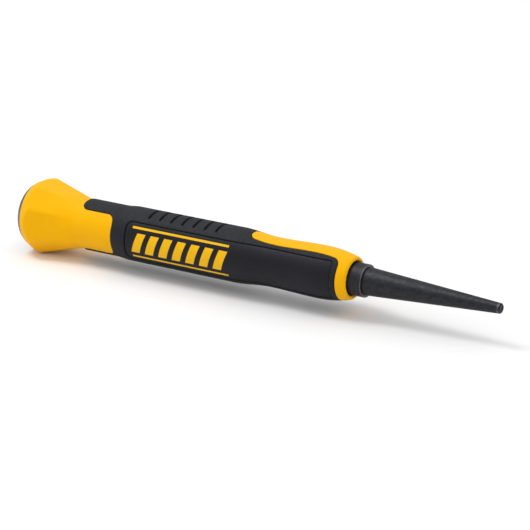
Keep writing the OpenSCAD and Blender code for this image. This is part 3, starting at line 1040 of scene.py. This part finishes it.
class NAILSETTER_OT_grip_sleeve(Operator):
    """Rubber sleeve with its tongues, grooves and panel openings"""
    bl_idname = "nail_setter.grip_sleeve"
    bl_label = "Grip sleeve"

    def execute(self, context):
        grip = sizes().grip
        rubber = finish_named("grip rubber", grip_rubber)
        rear, front = beside(rear_outline(), -grip.seam), beside(front_outline(), grip.seam)
        opening = panel_loop()
        plan = SkinPlan()
        plan.draw_edge(rear, -grip.edge)
        plan.draw_edge(front, grip.edge)
        plan.draw_edge(opening, -grip.edge, closed=True)
        self.draw_grooves(plan)
        plan.fill(SLEEVE_LOW.x, SLEEVE_HIGH.x)
        points, triangles = plan.triangles()
        middles = points[triangles].mean(axis=1)
        kept = triangles[inside(middles, np.concatenate([rear, front[::-1]])) & ~inside(middles, opening)]
        loop = np.concatenate([opening, opening[:1]])
        lip = np.max([lip_drop(away_from(points, line), grip.edge) for line in (rear, front, loop)], axis=0)
        radius = body_radius(points[:, 0]) - lip
        edges = walls(points, kept)
        shell = Shell()
        for side in (1, -1):
            upper = shell.skin(points, kept, radius, side)
            lower = shell.skin(points, kept, grip.core_r, side)
            shell.wall(edges, upper, lower)
        mesh = self.groove_tree(rubber).make(shell.mesh("rubber_grip"))
        place_piece(mesh, "rubber_grip", "handle", rubber, ["grip_sleeve"])
        return {"FINISHED"}

    def draw_grooves(self, plan):
        """Close lines across the skin where a groove is pressed in."""
        row = sizes().grooves
        reach = row.span / 2 * SKIN_R + row.width
        ahead = np.array(GROOVE_LINES) * row.width
        for n in range(row.count):
            for offset in (*-ahead[::-1], 0, *ahead):
                x = row.first_x + n * row.pitch + offset
                line = run((x, 0), (x, reach), GROOVE_STEP)
                plan.draw(line)
                plan.draw(below(line))

    def groove_tree(self, material):
        """Presses the row of grooves into the skin, above and below."""
        row, grip = sizes().grooves, sizes().grip
        tree = ShapeTree("Grip grooves", {
            "First": row.first_x, "Pitch": row.pitch, "Count": row.count, "Width": row.width,
            "Depth": row.depth, "Span": row.span, "Skin above": (grip.core_r + grip.waist_r) / 2,
            "Material": material})
        source, calc = tree.source, tree.math
        x, y, z = tree.position()
        radius = tree.hypotenuse(y, z)
        turn = calc("ARCTAN2", calc("ABSOLUTE", y), calc("ABSOLUTE", z))
        beyond = calc("SUBTRACT", turn, calc("DIVIDE", source["Span"], 2.0))
        past = calc("MULTIPLY", radius, calc("MAXIMUM", beyond, 0.0))
        along = calc("SUBTRACT", x, source["First"])
        nearest = calc("ROUND", calc("DIVIDE", along, source["Pitch"]))
        last = calc("SUBTRACT", source["Count"], 1.0)
        nearest = calc("MAXIMUM", calc("MINIMUM", nearest, last), 0.0)
        across = calc("SUBTRACT", along, calc("MULTIPLY", nearest, source["Pitch"]))
        away = calc("DIVIDE", tree.hypotenuse(past, across), source["Width"])
        pressed = tree.add("ShaderNodeMapRange", {
            "Value": away, "From Min": GROOVE_WALL[0], "From Max": GROOVE_WALL[1],
            "To Min": source["Depth"], "To Max": 0.0}, interpolation_type="SMOOTHSTEP").outputs[0]
        outer = calc("GREATER_THAN", radius, source["Skin above"])
        inward = calc("DIVIDE", calc("MULTIPLY", pressed, outer), calc("MULTIPLY", radius, -1.0))
        offset = tree.vector(y=calc("MULTIPLY", y, inward), z=calc("MULTIPLY", z, inward))
        tree.end(tree.moved(source["Geometry"], offset))
        return tree


class NAILSETTER_OT_side_panels(Operator):
    """Hard panels in the sides of the grip"""
    bl_idname = "nail_setter.side_panels"
    bl_label = "Side panels"

    def execute(self, context):
        panel, grip = sizes().panel, sizes().grip
        opening = panel_loop()
        edge = beside(opening, panel.gap, closed=True)
        plan = SkinPlan()
        plan.draw_edge(edge, panel.edge, closed=True)
        plan.fill(PANEL_LOW.x, PANEL_HIGH.x)
        points, triangles = plan.triangles()
        kept = triangles[inside(points[triangles].mean(axis=1), edge)]
        away = away_from(points, np.concatenate([edge, edge[:1]]))
        radius = body_radius(points[:, 0]) - panel.recess - lip_drop(away, panel.edge)
        # The foot fills the opening, so that the core does not show through the gap
        nearest = np.linalg.norm(points[:, None] - edge, axis=2).argmin(axis=1)
        foot = np.where(away[:, None] < ON_LINE, opening[nearest], points)
        edges = open_edges(kept)
        for side, name, node in ((1, "panel_left", "left_panel"), (-1, "panel_right", "right_panel")):
            shell = Shell()
            upper = shell.skin(points, kept, radius, side)
            lower = shell.skin(foot, kept, grip.core_r, side)
            shell.wall(edges, upper, lower)
            place_piece(shell.mesh(name), name, "handle",
                        finish_named("panel plastic", panel_plastic), [node])
        return {"FINISHED"}


class NAILSETTER_OT_panel_print(Operator):
    """Plain print on the panels: two stripes and a row of slanted bars"""
    bl_idname = "nail_setter.panel_print"
    bl_label = "Panel print"

    # Points along and across a bar, and along and across a stripe
    BAR_GRID = (5, 13)
    STRIPE_GRID = (60, 4)

    def execute(self, context):
        ink = finish_named("print ink", print_ink)
        mesh = self.print_tree(ink).make(bpy.data.meshes.new("panel_print"))
        place_piece(mesh, "panel_print", "handle", ink)
        return {"FINISHED"}

    def print_tree(self, material):
        """Lays stripes and bars on the round side of the panels."""
        shape = sizes().print
        tree = ShapeTree("Panel print", {
            "Start": shape.start_x, "Length": shape.run, "Stripe": shape.stripe, "Upper": shape.upper,
            "Lower": shape.lower, "Bars": shape.bars, "Bar width": shape.bar_w, "Bar height": shape.bar_h,
            "Lean": math.tan(shape.slant), "Ink": shape.ink,
            "Panel radius": sizes().grip.grip_r - sizes().panel.recess, "Material": material})
        source, calc = tree.source, tree.math
        lean = calc("MULTIPLY", source["Bar height"], source["Lean"])
        middle_x = calc("ADD", source["Start"], calc("DIVIDE", source["Length"], 2.0))
        first = calc("ADD", source["Start"], calc("DIVIDE", calc("ADD", source["Bar width"], lean), 2.0))
        room = calc("SUBTRACT", source["Length"], calc("ADD", source["Bar width"], lean))
        pitch = calc("DIVIDE", room, calc("MAXIMUM", calc("SUBTRACT", source["Bars"], 1.0), 1.0))
        middle_z = calc("DIVIDE", calc("SUBTRACT", source["Upper"], source["Lower"]), 2.0)

        bar = self.flat(tree, source["Bar width"], source["Bar height"], self.BAR_GRID)
        bar = tree.moved(bar, tree.vector(x=calc("MULTIPLY", tree.position()["Z"], source["Lean"])))
        row = tree.made("MeshLine", {
            "Count": source["Bars"], "Start Location": tree.vector(x=first, z=middle_z),
            "Offset": tree.vector(x=pitch)})
        bars = tree.made("InstanceOnPoints", {"Points": row, "Instance": bar})
        stripe = self.flat(tree, source["Length"], source["Stripe"], self.STRIPE_GRID)
        heights = (source["Upper"], calc("MULTIPLY", source["Lower"], -1.0))
        places = [tree.vector(x=middle_x, z=height) for height in heights]
        stripes = [tree.made("Transform", {"Geometry": stripe, "Translation": place}) for place in places]
        drawn = tree.made("RealizeInstances", {"Geometry": tree.joined(bars, *stripes)})

        coat = self.thickened(tree, drawn, calc("MULTIPLY", source["Ink"], 2.0))
        coat = self.wrapped(tree, coat, calc("SUBTRACT", source["Panel radius"], source["Ink"]))
        other = tree.made("Transform", {"Geometry": coat, "Scale": (1, -1, 1)})
        tree.end(tree.joined(coat, tree.made("FlipFaces", {"Mesh": other})))
        return tree

    def flat(self, tree, width, height, grid):
        """An upright sheet in the tool's XZ plane."""
        sheet = tree.made("MeshGrid", {
            "Size X": width, "Size Y": height, "Vertices X": grid[0], "Vertices Y": grid[1]})
        return tree.made("Transform", {"Geometry": sheet, "Rotation": (math.pi / 2, 0, 0)})

    def thickened(self, tree, sheet, thickness):
        """A sheet made into a thin closed coat."""
        lifted = tree.made("ExtrudeMesh", {
            "Mesh": sheet, "Offset": (0, -1, 0), "Offset Scale": thickness, "Individual": False},
            mode="FACES")
        both = tree.joined(lifted, tree.made("FlipFaces", {"Mesh": sheet}))
        return tree.made("MergeByDistance", {"Geometry": both, "Distance": ON_LINE})

    def wrapped(self, tree, sheet, radius):
        """A sheet pushed sideways on to a round of that radius."""
        calc = tree.math
        squares = calc("SUBTRACT", calc("POWER", radius, 2.0), calc("POWER", tree.position()["Z"], 2.0))
        return tree.moved(sheet, tree.vector(y=calc("MULTIPLY", calc("SQRT", squares), -1.0)))


class NAILSETTER_OT_punch_bit(Operator):
    """Tapered bit with its hexagonal shank and cupped tip"""
    bl_idname = "nail_setter.punch_bit"
    bl_label = "Punch bit"

    # Rings on the chamfer of the shank, and rings of the cup as shares of its mouth
    CHAMFER_RINGS = 7
    CUP_RINGS = np.array([0.98, 0.8, 0.55, 0.3])

    def execute(self, context):
        steel = sizes().steel
        shank = hexagon(steel.shank_flats)
        rear, shoulder, tip = BIT_LOW.x, BAR_HIGH.x, BIT_HIGH.x
        edge, tip_r = steel.tip_edge, steel.tip_r
        foot_x = shoulder + steel.shoulder_edge
        slope = (steel.shoulder_r - tip_r) / (tip - edge - foot_x)

        def on_taper(widths):
            """A point of the taper, so many widths of the tip's chamfer from the end."""
            return tip - widths * edge, tip_r + (widths - 1) * slope * edge, 0

        foot_soft, side_soft, land_soft, mouth_gap = 0.06 * MM, 0.05 * MM, 0.08 * MM, 0.02 * MM
        chamfer = []
        for part in np.linspace(0, 1, self.CHAMFER_RINGS):
            widest = shank.max() - (1 - part) * steel.shank_edge
            chamfer.append(ring(rear + part * steel.shank_edge, np.minimum(shank, widest)))
        mouth = tip_r - edge - steel.tip_land
        taper = turned([(shoulder, steel.shoulder_r - steel.shoulder_edge, 0),
                        (foot_x, steel.shoulder_r, foot_soft), on_taper(4)])
        # Bare steel round the tip: a worn edge that also stands for a painted highlight
        wear_and_painted_light = turned([on_taper(3), on_taper(1.6)], TIP_WEAR_AND_HIGHLIGHT)
        end = turned([on_taper(1.2), (tip - edge, tip_r, side_soft), (tip, tip_r - edge, land_soft),
                      (tip, mouth + mouth_gap, 0)])
        cup_x = tip - steel.cup
        cup_r = (mouth ** 2 + steel.cup ** 2) / (2 * steel.cup)
        cup = [ring(cup_x + cup_r - math.sqrt(cup_r ** 2 - r ** 2), r) for r in mouth * self.CUP_RINGS]
        shell = Shell()
        shell.loft([pole(rear), *chamfer, ring(shoulder, shank), *taper, *wear_and_painted_light, *end, *cup, pole(cup_x)])
        place_piece(shell.mesh("nail_bit"), "nail_bit", "bit",
                    finish_named("black oxide", black_steel), ["punch_bit"])
        return {"FINISHED"}


class NAILSETTER_OT_retaining_ring(Operator):
    """Split spring ring in the socket"""
    bl_idname = "nail_setter.retaining_ring"
    bl_label = "Retaining ring"

    # Points along the ring and round its wire
    RING_POINTS = 90
    WIRE_POINTS = 20

    def execute(self, context):
        wire = finish_named("spring wire", spring_wire)
        mesh = self.ring_tree(wire).make(bpy.data.meshes.new("spring_ring"))
        place_piece(mesh, "spring_ring", "handle", wire, ["retaining_ring"])
        return {"FINISHED"}

    def ring_tree(self, material):
        """Sweeps round wire along an open ring."""
        steel = sizes().steel
        tree = ShapeTree("Spring ring", {
            "Place": (RING_LOW.x + RING_HIGH.x) / 2, "Radius": RING_HIGH.y - steel.wire / 2,
            "Wire": steel.wire, "Opening": steel.opening, "Material": material})
        source, calc = tree.source, tree.math
        path = tree.made("CurveArc", {
            "Resolution": self.RING_POINTS, "Radius": source["Radius"],
            "Start Angle": calc("DIVIDE", source["Opening"], 2.0),
            "Sweep Angle": calc("SUBTRACT", 2 * math.pi, source["Opening"])})
        section = tree.made("CurvePrimitiveCircle", {
            "Resolution": self.WIRE_POINTS, "Radius": calc("DIVIDE", source["Wire"], 2.0)})
        swept = tree.made("CurveToMesh", {"Curve": path, "Profile Curve": section, "Fill Caps": True})
        stood = tree.made("Transform", {
            "Geometry": swept, "Translation": tree.vector(x=source["Place"]),
            "Rotation": (0, math.pi / 2, 0)})
        tree.end(stood)
        return tree


class NAILSETTER_OT_stage(Operator):
    """Pale floor, soft light and the camera"""
    bl_idname = "nail_setter.stage"
    bl_label = "Stage"

    # Nothing nearer to the camera than this is drawn
    NEAREST = 0.01

    def execute(self, context):
        scene, stage = context.scene, sizes().stage
        scene.view_settings.view_transform = "Standard"
        middle = Vector((stage.aim, 0, 0))
        self.make_floor(scene, stage)
        self.make_sky(scene, stage)
        self.make_light(scene, stage, middle)
        self.make_camera(scene, stage, middle)
        return {"FINISHED"}

    def make_floor(self, scene, stage):
        """Square floor that the tool lies on."""
        reach, level = stage.floor_reach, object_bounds()[0].z
        corners = [(x * reach, y * reach, level) for x, y in ((-1, -1), (1, -1), (1, 1), (-1, 1))]
        mesh = bpy.data.meshes.new("studio_floor")
        mesh.from_pydata(corners, [], [(0, 1, 2, 3)])
        mesh.materials.append(finish_named("studio floor", studio_floor))
        floor = bpy.data.objects.new("studio_floor", mesh)
        scene.collection.objects.link(floor)
        floor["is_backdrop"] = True

    def make_sky(self, scene, stage):
        """White light that grows from the horizon to the zenith."""
        scene.world = bpy.data.worlds.new("studio sky")
        scene.world.use_nodes = True
        nodes = Nodes(scene.world.node_tree)
        height = nodes.parts(nodes.add("ShaderNodeTexCoord").outputs["Generated"])["Z"]
        strength = nodes.add("ShaderNodeMapRange", {
            "Value": height, "To Min": stage.horizon, "To Max": stage.zenith}).outputs[0]
        sky = nodes.add("ShaderNodeBackground", {"Color": (1, 1, 1, 1), "Strength": strength})
        nodes.add("ShaderNodeOutputWorld", {"Surface": sky.outputs[0]})

    def make_light(self, scene, stage, middle):
        """Round light that shines on the tool from above and behind the cap."""
        lamp = bpy.data.lights.new("key_light", "AREA")
        lamp.shape = "DISK"
        lamp.size = stage.key_size
        lamp.energy = stage.key
        light = bpy.data.objects.new("key_light", lamp)
        away = Vector(stage.key_place)
        light.location = middle + away
        light.rotation_euler = (-away).to_track_quat("-Z", "Y").to_euler()
        scene.collection.objects.link(light)

    def make_camera(self, scene, stage, middle):
        """Camera at the chosen angle and distance from the tool."""
        lens = bpy.data.cameras.new("camera")
        lens.lens = stage.lens
        lens.shift_x, lens.shift_y = stage.shift_x, stage.shift_y
        lens.clip_start = self.NEAREST
        camera = bpy.data.objects.new("camera", lens)
        turn, rise = stage.azimuth, stage.elevation
        away = Vector((math.sin(turn) * math.cos(rise), -math.cos(turn) * math.cos(rise), math.sin(rise)))
        camera.location = middle + away * stage.distance
        camera.rotation_euler = (-away).to_track_quat("-Z", "Y").to_euler()
        scene.collection.objects.link(camera)
        scene.camera = camera


OPERATORS = (
    NAILSETTER_OT_strike_plate, NAILSETTER_OT_core_bar, NAILSETTER_OT_handle_core,
    NAILSETTER_OT_grip_sleeve, NAILSETTER_OT_side_panels, NAILSETTER_OT_panel_print,
    NAILSETTER_OT_punch_bit, NAILSETTER_OT_retaining_ring, NAILSETTER_OT_stage,
)


class NAILSETTER_PT_panel(Panel):
    """Sizes, colours and pieces of the nail setter"""
    bl_idname = "NAILSETTER_PT_panel"
    bl_label = "Nail Setter"
    bl_space_type = "VIEW_3D"
    bl_region_type = "UI"
    bl_category = "Nail Setter"

    def draw(self, context):
        for part in sizes().bl_rna.properties:
            if part.type == "POINTER" and part.identifier != "rna_type":
                group = getattr(sizes(), part.identifier)
                box = self.layout.box()
                box.label(text=part.identifier.capitalize())
                for name in group.__annotations__:
                    box.prop(group, name)
        for operator in OPERATORS:
            self.layout.operator(operator.bl_idname)


GROUPS = (
    CapShape, GripShape, PadShape, GrooveRow, PanelShape, PrintShape, SteelShape, Finishes, StageSetup,
    NailSetter,
)
CLASSES = GROUPS + OPERATORS + (NAILSETTER_PT_panel,)


def register():
    for entry in CLASSES:
        bpy.utils.register_class(entry)
    bpy.types.Scene.nail_setter = PointerProperty(type=NailSetter)


def unregister():
    del bpy.types.Scene.nail_setter
    for entry in reversed(CLASSES):
        bpy.utils.unregister_class(entry)


def main():
    """Builds the tool and its stage."""
    register()
    for operator in OPERATORS:
        group, name = operator.bl_idname.split(".")
        getattr(getattr(bpy.ops, group), name)()


if __name__ == "__main__":
    main()
